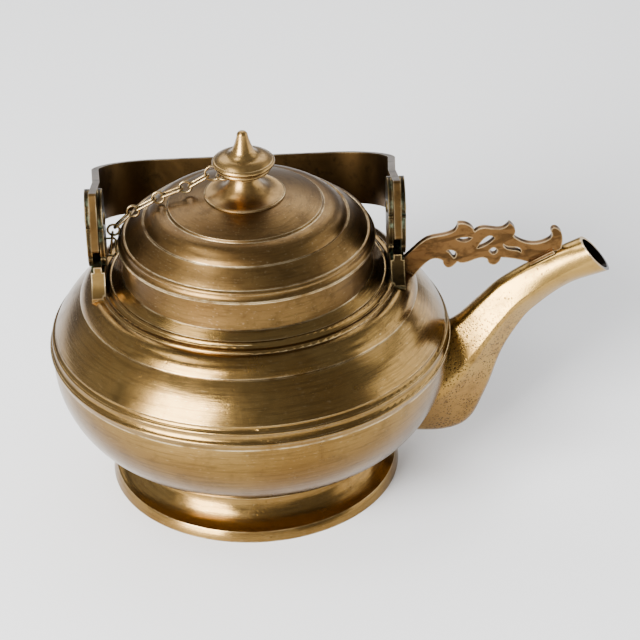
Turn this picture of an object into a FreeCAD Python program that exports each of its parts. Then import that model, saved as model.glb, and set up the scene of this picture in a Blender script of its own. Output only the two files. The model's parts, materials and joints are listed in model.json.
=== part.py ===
import FreeCAD, Part
import math
import os
import re
import Sketcher
from FreeCAD import Placement, Rotation, Vector

# Spun brass kettle: bowl, shoulder, neck, foot ring, cast spout and bracket, strap bail, chained lid.
# Millimetres. +Z is up, +X points to the spout, the origin is the centre of the foot on the floor.

# Driving sizes, each one a cell of the sheet
SIZES = {
    # foot ring
    "foot_radius": 65.9,
    "foot_height": 17.8,
    "foot_band_height": 4.7,
    "foot_band_step": 1.5,
    "foot_seat_width": 1.9,
    "foot_cove_depth": 2.2,
    "foot_wall": 1.8,
    # bowl
    "body_wall": 1.3,
    "bowl_base_radius": 52.0,
    "bowl_depth": 47.8,
    "bowl_turn_inset": 10.2,
    "bowl_turn_rise": 16.6,
    "bowl_upper_bulge": 3.25,
    "bowl_lower_bulge": 1.8,
    "bowl_floor_drop": 4.3,
    # belt and shoulder
    "belt_radius": 90.0,
    "belt_step": 1.3,
    "belt_under_rise": 3.2,
    "belt_gap_rise": 4.6,
    "cord_step": 1.2,
    "bead_half": 0.8,
    "bead_rise": 0.7,
    "shoulder_rise": 18.0,
    "shoulder_bulge": 1.0,
    "shoulder_fillet": 2.2,
    "ring_width": 9.3,
    "ring_rise": 8.2,
    "ring_bulge": 1.7,
    "ring_edge": 0.8,
    "groove_width": 4.0,
    "groove_rise": 1.6,
    "groove_depth": 0.5,
    "ledge_width": 5.8,
    "ledge_rise": 3.3,
    # neck
    "neck_bore_radius": 53.9,
    "neck_wall": 1.4,
    "neck_height": 13.1,
    "neck_tail": 4.0,
    "neck_hollow": 0.35,
    "solder_gap": 0.05,
    # lid
    "lid_seat_gap": 0.1,
    "lid_wall": 1.0,
    "lid_overhang": 1.3,
    "lid_edge_height": 1.0,
    "lid_cove_rise": 2.2,
    "lid_cove_width": 1.7,
    "lid_cove_depth": 0.4,
    "lid_bead_rise": 1.3,
    "lid_bead_width": 1.7,
    "lid_bead_bulge": 0.7,
    "lid_tier_rise": 6.9,
    "lid_tier_width": 7.9,
    "lid_tier_bulge": 0.4,
    "lid_groove_width": 0.9,
    "lid_groove_drop": 0.4,
    "lid_roll_rise": 5.8,
    "lid_roll_width": 10.0,
    "lid_roll_bulge": 1.5,
    "lid_step_rise": 1.0,
    "lid_step_width": 0.8,
    "lid_crown_rise": 5.7,
    "bezel_depth": 5.4,
    "bezel_gap": 0.5,
    "bezel_wall": 1.0,
    # finial
    "finial_height": 28.8,
    "finial_rim_radius": 13.5,
    "finial_flange_radius": 17.7,
    "finial_flange_thick": 0.8,
    "tenon_radius": 2.9,
    "tenon_head_height": 1.2,
    "washer_radius": 6.5,
    "washer_thick": 1.2,
    # lugs
    "lug_gap": 10.3,
    "slot_clear": 0.15,
    "ear_thick": 2.0,
    "ear_radius": 11.0,
    "pin_rise": 25.7,
    "tongue_drop": 18.9,
    "post_drop": 21.6,
    "post_thick": 6.0,
    "post_top_half": 10.0,
    "post_base_half": 17.0,
    "post_flare_bulge": 1.6,
    "pin_radius": 2.0,
    "pin_clear": 0.05,
    "pin_head_radius": 2.9,
    "pin_head_height": 0.5,
    # bail
    "bail_thick": 3.3,
    "bail_end_width": 26.0,
    "bail_grip_width": 24.0,
    "bail_tail": 12.9,
    "bail_reach": 89.0,
    "bail_flare": 2.7,
    "bail_straight": 20.0,
    "bail_corner": 27.0,
    "bail_end_round": 1.6,
    "bail_rest_gap": 0.6,
    # spout
    "spout_root_depth": 38.6,
    "spout_root_height": 41.5,
    "spout_reach": 102.8,
    "spout_rise": 60.2,
    "spout_half_height": 24.7,
    "spout_half_width": 16.8,
    "spout_wall": 1.5,
    "bore_overrun": 2.5,
    # bracket
    "bracket_height": 28.6,
    "bracket_thick": 2.8,
    "bracket_root_gap": 0.9,
    "bracket_root_drop": 12.3,
    "bracket_pad_length": 10.5,
    "bracket_pad_width": 5.5,
    "bracket_pad_thick": 1.6,
    # chain
    "chain_wire_radius": 0.55,
    "chain_play": 0.15,
    "chain_offset": 3.5,
    "first_ring_radius": 3.4,
    "chain_ring_radius": 2.6,
    "chain_link_length": 10.25,
    "chain_link_half": 1.6,
    "eye_radius": 3.6,
    "eye_offset": 8.2,
    "eye_rise": 5.8,
    "staple_wire_radius": 0.5,
    "staple_bar_gap": 2.6,
    "staple_drop": 1.6,
    "staple_rise": 7.2,
    "staple_corner": 1.1,
}

# Finial outline from tip to neck: shares of the rim radius, of the height and of the rim radius (bulge)
FINIAL_SHARES = [
    (0.030, 1.000, 0.045),
    (0.180, 0.935, -0.02),
    (0.360, 0.690, -0.03),
    (0.620, 0.605, 0.02),
    (0.930, 0.535, 0.08),
    (0.930, 0.452, -0.02),
    (0.850, 0.425, 0.06),
    (0.790, 0.360, -0.05),
    (0.440, 0.275, -0.02),
    (0.440, 0.230, -0.16),
]

# Ear outline, one side from the foot to the top: shares of the ear radius from the pin axis, bulge last
EAR_SHARES = [
    (0.350, -1.964, 0.060),
    (0.760, -1.470, 0.075),
    (0.780, -1.320, 0.100),
    (0.840, -0.090, 0.075),
    (0.840, 0.070, 0.340),
    (0.000, 1.270, 0.000),
]

# Spout stations: shares of reach, rise, half height, half width and corner, then the lean in degrees
SPOUT_STATION_SHARES = [
    (0.000, 0.000, 0.800, 0.88, 0.95, 0.0),
    (0.155, -0.016, 0.900, 0.97, 0.95, 14.0),
    (0.289, 0.000, 1.020, 1.00, 0.95, 30.0),
    (0.385, 0.133, 0.825, 0.91, 0.92, 42.0),
    (0.484, 0.339, 0.565, 0.77, 0.88, 52.0),
    (0.571, 0.532, 0.470, 0.65, 0.82, 52.0),
    (0.660, 0.691, 0.411, 0.58, 0.80, 45.0),
    (0.847, 0.904, 0.346, 0.47, 0.80, 28.0),
    (0.996, 1.003, 0.433, 0.41, 0.80, 40.0),
]

# Bracket outline, one list per smooth stretch: shares along the bracket and of its height above the base
BRACKET_STRETCH_SHARES = [
    [(-0.040, 0.400), (0.060, 0.580), (0.148, 0.696), (0.271, 0.702), (0.323, 0.730)],
    [(0.323, 0.730), (0.345, 0.795), (0.350, 0.850)],
    [(0.350, 0.850), (0.409, 0.819), (0.448, 0.741), (0.467, 0.654)],
    [(0.467, 0.654), (0.549, 0.680), (0.656, 0.616), (0.690, 0.650), (0.705, 0.690)],
    [(0.705, 0.690), (0.747, 0.530), (0.735, 0.439)],
    [(0.735, 0.439), (0.816, 0.288), (0.931, 0.228), (1.002, 0.321), (0.991, 0.398)],
    [(0.991, 0.398), (1.014, 0.450), (1.051, 0.394), (1.074, 0.250), (1.074, 0.136), (1.060, -0.080)],
    [(1.060, -0.080), (0.900, -0.260)],
    [(0.900, -0.260), (0.871, -0.107)],
    [(0.871, -0.107), (0.746, 0.030), (0.653, 0.105)],
    [(0.653, 0.105), (0.636, 0.030), (0.602, -0.006), (0.570, 0.040), (0.558, 0.119)],
    [(0.558, 0.119), (0.516, 0.167), (0.401, 0.134), (0.349, 0.179)],
    [(0.349, 0.179), (0.321, 0.122), (0.286, 0.105), (0.257, 0.172), (0.249, 0.248)],
    [(0.249, 0.248), (0.176, 0.315), (0.098, 0.202), (0.032, 0.014), (0.020, -0.200)],
    [(0.020, -0.200), (-0.040, -0.200)],
    [(-0.040, -0.200), (-0.040, 0.400)],
]

# Bracket piercings, each one a ring of two smooth stretches in the same shares
BRACKET_PIERCING_SHARES = [
    [[(0.340, 0.590), (0.385, 0.594), (0.450, 0.556)], [(0.450, 0.556), (0.415, 0.510), (0.340, 0.590)]],
    [[(0.272, 0.410), (0.310, 0.405), (0.342, 0.330)],
     [(0.342, 0.330), (0.326, 0.262), (0.302, 0.340), (0.272, 0.410)]],
    [[(0.484, 0.350), (0.529, 0.488), (0.570, 0.530), (0.606, 0.470)],
     [(0.606, 0.470), (0.558, 0.390), (0.484, 0.350)]],
    [[(0.570, 0.262), (0.598, 0.306), (0.627, 0.240)], [(0.627, 0.240), (0.602, 0.186), (0.570, 0.262)]],
    [[(0.666, 0.346), (0.700, 0.268), (0.774, 0.212), (0.790, 0.122)],
     [(0.790, 0.122), (0.760, 0.172), (0.700, 0.225), (0.666, 0.346)]],
]

# Lie of the chain in its upright plane, in degrees from +X towards +Z
FIRST_RING_ANGLES = (140.0, 203.0)
LINK_ANGLES = (210.0, 201.0, 208.0, 223.0, 261.0)
RING_ANGLES = (192.0, 209.0, 214.0, 249.0)

# Heights and radii stacked from the driving sizes
SEAM_Z = "(foot_height + bowl_depth)"
BELT_Z = f"({SEAM_Z} + belt_under_rise)"
CORD_Z = f"({BELT_Z} + belt_gap_rise)"
RING_Z = f"({CORD_Z} + shoulder_rise)"
STEP_Z = f"({RING_Z} + ring_rise)"
LINE_Z = f"({STEP_Z} + groove_rise)"
LEDGE_Z = f"({LINE_Z} + ledge_rise)"
NECK_Z = f"({LEDGE_Z} + neck_height)"
PIN_Z = f"({LEDGE_Z} + pin_rise)"
NECK_R = "(neck_bore_radius + neck_wall)"
LINE_R = f"({NECK_R} + ledge_width)"
STEP_R = f"({LINE_R} + groove_width)"
RING_R = f"({STEP_R} + ring_width)"
SEAM_R = "(belt_radius - belt_step)"
CORD_R = "(belt_radius - cord_step)"
TURN_R = f"({SEAM_R} - bowl_turn_inset)"
TURN_Z = "(foot_height + bowl_turn_rise)"
RIM_Z = f"({NECK_Z} + lid_seat_gap)"
LID_R = f"({NECK_R} + lid_overhang)"
COVE_R = f"({LID_R} - lid_cove_width)"
COVE_Z = f"({RIM_Z} + lid_edge_height + lid_cove_rise)"
TIER_R = f"({COVE_R} - lid_bead_width)"
TIER_Z = f"({COVE_Z} + lid_bead_rise)"
RIDGE_R = f"({TIER_R} - lid_tier_width)"
RIDGE_Z = f"({TIER_Z} + lid_tier_rise)"
ROLL_R = f"({RIDGE_R} - lid_groove_width)"
ROLL_Z = f"({RIDGE_Z} - lid_groove_drop)"
STAGE_R = f"({ROLL_R} - lid_roll_width)"
STAGE_Z = f"({ROLL_Z} + lid_roll_rise)"
CROWN_R = f"({STAGE_R} - lid_step_width)"
CROWN_Z = f"({STAGE_Z} + lid_step_rise)"
TOP_Z = f"({CROWN_Z} + lid_crown_rise)"
CROWN_SPHERE = f"({CROWN_R} ^ 2 / (2 * lid_crown_rise) + lid_crown_rise / 2)"
ARM_X = f"({NECK_R} + lug_gap)"
SLOT_HALF = "(bail_thick / 2 + slot_clear)"
POST_HALF = f"({SLOT_HALF} + ear_thick)"

doc = FreeCAD.newDocument("tea_kettle")
sheet = doc.addObject("Spreadsheet::Sheet", "Sizes")
for row, (alias, number) in enumerate(SIZES.items(), 1):
    sheet.set(f"A{row}", alias)
    sheet.set(f"B{row}", str(number))
    sheet.setAlias(f"B{row}", alias)
doc.recompute()

pieces = []


def bound(formula):
    """The formula with every size name pointed at the sheet."""
    return re.sub(r"[a-z]+(?:_[a-z]+)+", r"Sizes.\g<0>", formula)


def measure(formula):
    """The present value of a formula of size names."""
    return float(sheet.evalExpression(bound(formula)))


def keep(item, label):
    """Mark a document object as a finished piece."""
    item.Label = label
    pieces.append(item)
    return item


def crown_height(radius, sphere=CROWN_SPHERE, top=TOP_Z):
    """Height of the lid's domed crown at a radius."""
    return f"({top} - {sphere} + sqrt({sphere} ^ 2 - ({radius}) ^ 2))"


def inset(outline, wall):
    """The outline walked backwards, moved in by the wall, so that it closes a shell."""
    corners = [(measure(across), measure(up)) for across, up, bulge in outline]
    steps = [(b[0] - a[0], b[1] - a[1]) for a, b in zip(corners, corners[1:])]
    normals = [(dy / math.hypot(dx, dy), -dx / math.hypot(dx, dy)) for dx, dy in steps]
    moved = []
    for number, (across, up, bulge) in enumerate(outline):
        near = normals[max(number - 1, 0):number + 1]
        side = Vector(sum(n[0] for n in near), sum(n[1] for n in near), 0).normalize()
        reach = f"{across} - {side.x:.4f} * {wall}"
        moved.append((reach if across != "0" else "0", f"{up} - {side.y:.4f} * {wall}"))
    bulges = [f"-({bulge})" if bulge != "0" else "0" for across, up, bulge in outline[:-1]]
    return [spot + (turn,) for spot, turn in zip(reversed(moved), bulges[::-1] + ["0"])]


def draw(sketch, outline):
    """Draw a closed outline of (across, up, bulge) corners, each corner and radius bound to the sheet."""
    spots = [Vector(measure(across), measure(up), 0) for across, up, bulge in outline]
    ends = []
    for number, (across, up, bulge) in enumerate(outline):
        following = (number + 1) % len(outline)
        start, finish = spots[number], spots[following]
        sag = 0.0 if bulge == "0" else measure(bulge)
        if sag == 0.0:
            ends.append((sketch.addGeometry(Part.LineSegment(start, finish), False), 1, 2))
            continue
        chord = finish - start
        radius = chord.Length ** 2 / (8 * abs(sag)) + abs(sag) / 2
        side = Vector(chord.y, -chord.x, 0).normalize() * math.copysign(1.0, sag)
        middle = (start + finish) * 0.5 - side * (radius - abs(sag))
        first, last = (start, finish) if sag > 0 else (finish, start)
        angles = [math.atan2(spot.y - middle.y, spot.x - middle.x) for spot in (first, last)]
        circle = Part.Circle(middle, Vector(0, 0, 1), radius)
        geometry = sketch.addGeometry(Part.ArcOfCircle(circle, angles[0], angles[1]), False)
        ends.append((geometry, 1, 2) if sag > 0 else (geometry, 2, 1))
        next_across, next_up = outline[following][:2]
        chord_square = f"(({next_across}) - ({across})) ^ 2 + (({next_up}) - ({up})) ^ 2"
        index = sketch.addConstraint(Sketcher.Constraint("Radius", geometry, radius))
        sketch.setExpression(
            f"Constraints[{index}]", bound(f"({chord_square}) / (8 * abs({bulge})) + abs({bulge}) / 2"))
    for number, (geometry, begin, end) in enumerate(ends):
        following = ends[(number + 1) % len(ends)]
        sketch.addConstraint(Sketcher.Constraint("Coincident", geometry, end, following[0], following[1]))
        for kind, axis, formula in zip(("DistanceX", "DistanceY"), (-2, -1), outline[number]):
            if formula == "0":
                sketch.addConstraint(Sketcher.Constraint("PointOnObject", geometry, begin, axis))
                continue
            place = measure(formula)
            index = sketch.addConstraint(Sketcher.Constraint(kind, -1, 1, geometry, begin, place))
            sketch.setExpression(f"Constraints[{index}]", bound(formula))


def mirrored(half):
    """The same stretch walked on the other side of the upright axis."""
    bulges = [corner[2] for corner in half[:-1]]
    sides = ["0" if across == "0" else f"-({across})" for across, up, bulge in half]
    heights = [corner[1] for corner in half]
    return list(zip(sides[::-1], heights[::-1], bulges[::-1] + ["0"]))


def body_with_sketch(name, plane, outline):
    """A body with one sketch on one of its own origin planes."""
    body = doc.addObject("PartDesign::Body", name)
    sketch = body.newObject("Sketcher::SketchObject", f"{name}_sketch")
    support = [item for item in body.Origin.OriginFeatures if item.Role == plane][0]
    sketch.AttachmentSupport = [(support, "")]
    sketch.MapMode = "FlatFace"
    draw(sketch, outline)
    return body, sketch


def turned(name, outline):
    """A body turned about the upright axis."""
    body, sketch = body_with_sketch(name, "XZ_Plane", outline)
    turn = body.newObject("PartDesign::Revolution", f"{name}_turn")
    turn.Profile = sketch
    turn.ReferenceAxis = (sketch, ["V_Axis"])
    turn.Angle = 360
    body.Tip = turn
    return body


def slab(name, plane, outline, thick):
    """A body of even thickness, centred on one of its own origin planes."""
    body, sketch = body_with_sketch(name, plane, outline)
    pad = body.newObject("PartDesign::Pad", f"{name}_pad")
    pad.Profile = sketch
    pad.Midplane = True
    pad.setExpression("Length", bound(thick))
    body.Tip = pad
    return body


def joined(kind, name, base, tool):
    """A boolean of two document objects."""
    result = doc.addObject(kind, name)
    result.Base = base
    result.Tool = tool
    return result


def rod_along_x(name, radius, length, middle, height):
    """A plain round bar along X, centred at a place on the plane Y = 0."""
    rod = doc.addObject("Part::Cylinder", name)
    rod.setExpression("Radius", bound(radius))
    rod.setExpression("Height", bound(length))
    rod.Placement = Placement(Vector(0, 0, 0), Rotation(Vector(0, 1, 0), 90))
    rod.setExpression("Placement.Base.x", bound(f"{middle} - ({length}) / 2"))
    rod.setExpression("Placement.Base.z", bound(height))
    return rod


def swept_wire(name, outline, closed_edges, radius, spot, turn):
    """A round wire swept along a path that is sketched flat and then placed."""
    path = doc.addObject("Sketcher::SketchObject", f"{name}_path")
    draw(path, outline)
    for index in sorted(set(range(len(outline))) - set(closed_edges), reverse=True):
        path.delGeometry(index)
    path.Placement = Placement(spot, turn)
    ring = doc.addObject("Part::Circle", f"{name}_section")
    ring.setExpression("Radius", bound(radius))
    start = Vector(measure(outline[0][0]), measure(outline[0][1]), 0)
    finish = Vector(measure(outline[1][0]), measure(outline[1][1]), 0)
    facing = Rotation(Vector(0, 0, 1), finish - start)
    ring.Placement = Placement(spot, turn).multiply(Placement(start, facing))
    sweep = doc.addObject("Part::Sweep", name)
    sweep.Sections = [ring]
    sweep.Spine = (path, [f"Edge{number + 1}" for number in range(len(closed_edges))])
    sweep.Solid = True
    sweep.Frenet = False
    return sweep


# Bowl and shoulder outlines, outside, from the floor upwards
SLOPE_R = f"({CORD_R} - bead_rise - 0.6 * shoulder_fillet)"
SLOPE_Z = f"({CORD_Z} + bead_half + shoulder_fillet)"
bowl_outside = [
    ("0", "foot_height - bowl_floor_drop", "0"),
    ("bowl_base_radius", "foot_height", "bowl_lower_bulge"),
    (TURN_R, TURN_Z, "bowl_upper_bulge"),
    (SEAM_R, SEAM_Z, "0"),
]
shoulder_outside = [
    (SEAM_R, SEAM_Z, "0"),
    ("belt_radius - bead_rise", f"{BELT_Z} - bead_half", "bead_rise"),
    ("belt_radius - bead_rise", f"{BELT_Z} + bead_half", "-groove_depth"),
    (f"{CORD_R} - bead_rise", f"{CORD_Z} - bead_half", "bead_rise"),
    (f"{CORD_R} - bead_rise", f"{CORD_Z} + bead_half", "-groove_depth"),
    (SLOPE_R, SLOPE_Z, "shoulder_bulge"),
    (RING_R, RING_Z, "0"),
    (f"{RING_R} + 0.6 * ring_edge", f"{RING_Z} + 0.8 * ring_edge", "ring_bulge"),
    (f"{STEP_R} + bead_half", f"{STEP_Z} - bead_half", "bead_rise"),
    (f"{STEP_R} - bead_half", f"{STEP_Z} + 0.4 * bead_half", "-groove_depth"),
    (f"{LINE_R} + bead_half", f"{LINE_Z} - 0.5 * bead_half", "0.7 * bead_rise"),
    (f"{LINE_R} - bead_half", f"{LINE_Z} + 0.6 * bead_half", "0"),
    (f"{NECK_R} + solder_gap", LEDGE_Z, "0"),
]
shoulder_guide = [
    (SEAM_R, SEAM_Z, "0"),
    (f"{CORD_R} - bead_rise", CORD_Z, "0"),
    (SLOPE_R, SLOPE_Z, "shoulder_bulge"),
    (RING_R, RING_Z, "ring_bulge"),
    (STEP_R, f"{STEP_Z} - groove_depth", "0"),
    (f"{NECK_R} + solder_gap", f"{LEDGE_Z} - groove_depth", "0"),
]
shoulder_inside = inset(shoulder_guide, "body_wall")
shoulder_inside[0] = (f"{NECK_R} + solder_gap", shoulder_inside[0][1], "0")
shoulder_inside[-1] = (f"{SEAM_R} - body_wall", SEAM_Z, "0")
bowl_inside = inset(bowl_outside, "body_wall")
bowl_inside[0] = (f"{SEAM_R} - body_wall", SEAM_Z, bowl_inside[0][2])

envelope = turned("body_envelope", bowl_outside[:-1] + shoulder_outside + [("0", LEDGE_Z, "0")])
bowl_shell = turned("bowl_shell", bowl_outside + bowl_inside)
keep(turned("upper_shoulder", shoulder_outside + shoulder_inside), "upper_shoulder")

# Neck collar
keep(turned("neck_collar", [
    (NECK_R, f"{LEDGE_Z} - neck_tail", "0"),
    (NECK_R, LEDGE_Z, "-neck_hollow"),
    (NECK_R, NECK_Z, "0"),
    ("neck_bore_radius", NECK_Z, "0"),
    ("neck_bore_radius", f"{LEDGE_Z} - neck_tail", "0"),
]), "neck_collar")

# Foot ring, trimmed to sit on the bowl
WAIST_R = "(bowl_base_radius + foot_seat_width)"
foot_outside = [
    ("foot_radius", "0", "0.3 * bead_rise"),
    ("foot_radius - foot_band_step", "foot_band_height", "0"),
    ("foot_radius - foot_band_step - bead_half", "foot_band_height + 0.4 * bead_half", "-foot_cove_depth"),
    (f"{WAIST_R} + bead_half", "foot_height - 2.5 * bead_half", "bead_rise"),
    (f"{WAIST_R} + bead_half", "foot_height - 0.5 * bead_half", "0"),
    (WAIST_R, "foot_height + foot_wall", "0"),
]
foot_inside = [
    (f"{WAIST_R} - foot_wall", "foot_height + foot_wall", "0"),
    (f"{WAIST_R} - foot_wall", "foot_height - 2 * bead_half", "foot_cove_depth"),
    ("foot_radius - foot_band_step - bead_half - foot_wall", "foot_band_height", "0"),
    ("foot_radius - foot_band_step - foot_wall", "0", "0"),
]
foot_axis = [("0", "foot_height + foot_wall", "0"), ("0", "0", "0")]
foot_blank = turned("foot_blank", foot_outside + foot_inside)
foot_envelope = turned("foot_envelope", foot_outside + foot_axis)
keep(joined("Part::Cut", "foot_ring", foot_blank, envelope), "foot_ring")


# Spout: rounded sections along a rising curve, lofted twice for the outside and the bore
DIAGONAL = math.sqrt(0.5)
SPOUT_X = "(belt_radius - spout_root_depth)"


def spout_loft(name, wall, overrun):
    """Loft through the spout stations, every half size less the wall, both ends run on by the overrun."""
    sections = []
    ends = {0: -1, len(SPOUT_STATION_SHARES) - 1: 1}
    for number, (along, rise, tall, wide, corner, lean) in enumerate(SPOUT_STATION_SHARES):
        high = f"({tall} * spout_half_height - {wall})"
        half = f"({wide} * spout_half_width - {wall})"
        nook = f"({corner * wide} * spout_half_width - {corner} * {wall})"
        sag = f"{1 - DIAGONAL:.6f} * {nook}"
        section = doc.addObject("Sketcher::SketchObject", f"{name}_{number}")
        draw(section, [
            (f"-({half} - {nook})", f"-{high}", "0"),
            (f"{half} - {nook}", f"-{high}", sag),
            (half, f"-({high} - {nook})", "0"),
            (half, f"{high} - {nook}", sag),
            (f"{half} - {nook}", high, "0"),
            (f"-({half} - {nook})", high, sag),
            (f"-{half}", f"{high} - {nook}", "0"),
            (f"-{half}", f"-({high} - {nook})", sag),
        ])
        tilt = Rotation(Vector(0, -1, 0), lean)
        upright = Rotation(Vector(0, 1, 0), Vector(0, 0, 1), Vector(1, 0, 0), "ZXY")
        section.Placement = Placement(Vector(0, 0, 0), tilt.multiply(upright))
        run = tilt.multVec(Vector(ends.get(number, 0), 0, 0))
        section.setExpression("Placement.Base.x", bound(
            f"{SPOUT_X} + {along} * spout_reach + {run.x:.4f} * {overrun}"))
        section.setExpression("Placement.Base.z", bound(
            f"spout_root_height + {rise} * spout_rise + {run.z:.4f} * {overrun}"))
        sections.append(section)
    loft = doc.addObject("Part::Loft", name)
    loft.Sections = sections
    loft.Solid = True
    loft.Ruled = False
    return loft


def spout_top(number):
    """The top of one spout station on the plane Y = 0."""
    along, rise, tall, wide, corner, lean = SPOUT_STATION_SHARES[number]
    reach = tall * measure("spout_half_height")
    return Vector(
        measure(f"{SPOUT_X} + {along} * spout_reach") - reach * math.sin(math.radians(lean)), 0,
        measure(f"spout_root_height + {rise} * spout_rise") + reach * math.cos(math.radians(lean)))


spout_outside = spout_loft("spout_outside", "0 * spout_wall", "0 * bore_overrun")
spout_bore = spout_loft("spout_bore", "spout_wall", "bore_overrun")
spout_shell = joined("Part::Cut", "spout_shell", spout_outside, spout_bore)
spout_off_body = joined("Part::Cut", "spout_off_body", spout_shell, envelope)
keep(joined("Part::Cut", "spout", spout_off_body, foot_envelope), "spout")
keep(joined("Part::Cut", "lower_bowl", bowl_shell, spout_bore), "lower_bowl")

# Lugs: a flared post with a tongue, two ear plates and a pin on each side
def lug(side, sign):
    """Post, ears and pin of one lug; sign is +1 for the spout side."""
    middle = f"({sign} * {ARM_X})"
    post_side = [
        ("post_base_half", f"{RING_Z} - post_top_half", "0"),
        ("post_base_half", STEP_Z, "-post_flare_bulge"),
        ("post_top_half", f"{PIN_Z} - post_drop", "0"),
    ]
    tongue_side = [
        ("post_top_half", f"{PIN_Z} - post_drop", "0"),
        ("post_top_half", f"{PIN_Z} - tongue_drop", "0"),
    ]
    base = slab(f"{side}_post_base", "YZ_Plane", post_side + mirrored(post_side), "post_thick")
    tongue_outline = tongue_side + mirrored(tongue_side)
    tongue = slab(f"{side}_post_tongue", "YZ_Plane", tongue_outline, f"2 * {SLOT_HALF}")
    for item in (base, tongue):
        item.setExpression("Placement.Base.x", bound(middle))
    blank = joined("Part::Fuse", f"{side}_post_blank", base, tongue)
    keep(joined("Part::Cut", f"{side}_lug_post", blank, envelope), f"{side}_lug_post")

    ear_side = [
        (f"{across} * ear_radius" if across else "0",
         f"{PIN_Z} + {up} * ear_radius", f"{bulge} * ear_radius")
        for across, up, bulge in EAR_SHARES]
    outline = ear_side[:-1] + mirrored(ear_side)
    drill = rod_along_x(f"{side}_pin_drill", "pin_radius", f"4 * {POST_HALF}", middle, PIN_Z)
    for place, way in (("outer", sign), ("inner", -sign)):
        plate = slab(f"{side}_{place}_plate", "YZ_Plane", outline, "ear_thick")
        plate.setExpression("Placement.Base.x", bound(f"{middle} + {way} * ({SLOT_HALF} + ear_thick / 2)"))
        keep(joined("Part::Cut", f"{side}_{place}_ear", plate, drill), f"{side}_{place}_ear")

    pin = turned(f"{side}_bail_pin", [
        ("0", f"-({POST_HALF} + pin_head_height)", "0"),
        ("0.3 * pin_head_radius", f"-({POST_HALF} + pin_head_height)", "0.15 * pin_head_radius"),
        ("pin_head_radius", f"-{POST_HALF}", "0"),
        ("pin_radius", f"-{POST_HALF}", "0"),
        ("pin_radius", POST_HALF, "0"),
        ("pin_head_radius", POST_HALF, "0.15 * pin_head_radius"),
        ("0.3 * pin_head_radius", f"{POST_HALF} + pin_head_height", "0"),
        ("0", f"{POST_HALF} + pin_head_height", "0"),
    ])
    pin.Placement = Placement(Vector(0, 0, 0), Rotation(Vector(0, 1, 0), 90))
    pin.setExpression("Placement.Base.x", bound(middle))
    pin.setExpression("Placement.Base.z", bound(PIN_Z))
    keep(pin, f"{side}_bail_pin")


lug("right", 1)
lug("left", -1)

# Openwork bracket: a flat casting from the right lug's post to the top of the spout
bracket_root = Vector(
    measure(f"{ARM_X} + {POST_HALF} + bracket_root_gap"), 0, measure(f"{LEDGE_Z} - bracket_root_drop"))
bracket_tail = spout_top(-2)
bracket_run = bracket_tail - bracket_root
bracket_up = Vector(0, 0, measure("bracket_height"))


def bracket_wire(stretches):
    """A closed wire of smooth stretches given in bracket shares."""
    edges = []
    for stretch in stretches:
        spots = [bracket_root + bracket_run * along + bracket_up * above for along, above in stretch]
        if len(spots) == 2:
            edges.append(Part.LineSegment(spots[0], spots[1]).toShape())
            continue
        curve = Part.BSplineCurve()
        curve.interpolate(spots)
        edges.append(curve.toShape())
    return Part.Wire(edges)


scroll = Part.Face(bracket_wire(BRACKET_STRETCH_SHARES))
for stretches in BRACKET_PIERCING_SHARES:
    scroll = scroll.cut(Part.Face(bracket_wire(stretches)))
bracket_sheet = doc.addObject("Part::Feature", "bracket_sheet")
bracket_sheet.Shape = scroll
bracket_slab = doc.addObject("Part::Extrusion", "bracket_slab")
bracket_slab.Base = bracket_sheet
bracket_slab.DirMode = "Custom"
bracket_slab.Dir = Vector(0, 1, 0)
bracket_slab.Symmetric = True
bracket_slab.Solid = True
bracket_slab.setExpression("LengthFwd", bound("bracket_thick"))
along_top = (spout_top(-1) - bracket_tail).normalize()
pad_rise = Vector(-along_top.z, 0, along_top.x) * measure("bracket_pad_thick")
pad_ends = [
    bracket_tail - along_top * measure("bracket_pad_length"),
    bracket_tail + along_top * measure("bracket_pad_thick"),
]
pad_corners = [spot - pad_rise for spot in pad_ends] + [spot + pad_rise for spot in reversed(pad_ends)]
pad_outline = [(f"{spot.x}", f"{spot.z}", "0") for spot in pad_corners]
bracket_pad = slab("bracket_pad", "XZ_Plane", pad_outline, "bracket_pad_width")
bracket_blank = joined("Part::Fuse", "bracket_blank", bracket_slab, bracket_pad)
bracket_off_spout = joined("Part::Cut", "bracket_off_spout", bracket_blank, spout_outside)
bracket_off_body = joined("Part::Cut", "bracket_off_body", bracket_off_spout, envelope)
right_post = doc.getObject("right_post_blank")
keep(joined("Part::Cut", "spout_bracket", bracket_off_body, right_post), "spout_bracket")

# Bail: a bent strap, drawn upright about the pin axis, narrowed to the grip, pierced, then folded back
OUTER_X = f"({ARM_X} + bail_thick / 2)"
INNER_X = f"({ARM_X} - bail_thick / 2)"
TOP_S = "(bail_reach + bail_thick / 2)"
UNDER_S = "(bail_reach - bail_thick / 2)"
BEND_S = "(bail_reach - bail_corner)"
BEND_SAG = f"{1 - DIAGONAL:.6f}"
OUTER_BEND = "(bail_corner + bail_thick / 2)"
INNER_BEND = "(bail_corner - bail_thick / 2)"
strap_half = [
    (OUTER_X, "-bail_tail", "0"),
    (OUTER_X, "bail_straight", "0"),
    (f"{OUTER_X} + bail_flare", BEND_S, f"{BEND_SAG} * {OUTER_BEND}"),
    (f"{OUTER_X} + bail_flare - {OUTER_BEND}", TOP_S, "0"),
]
hollow_half = [
    (f"{INNER_X} + bail_flare - {INNER_BEND}", UNDER_S, f"-{BEND_SAG} * {INNER_BEND}"),
    (f"{INNER_X} + bail_flare", BEND_S, "0"),
    (INNER_X, "bail_straight", "0"),
    (INNER_X, "-bail_tail", "0"),
]

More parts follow.
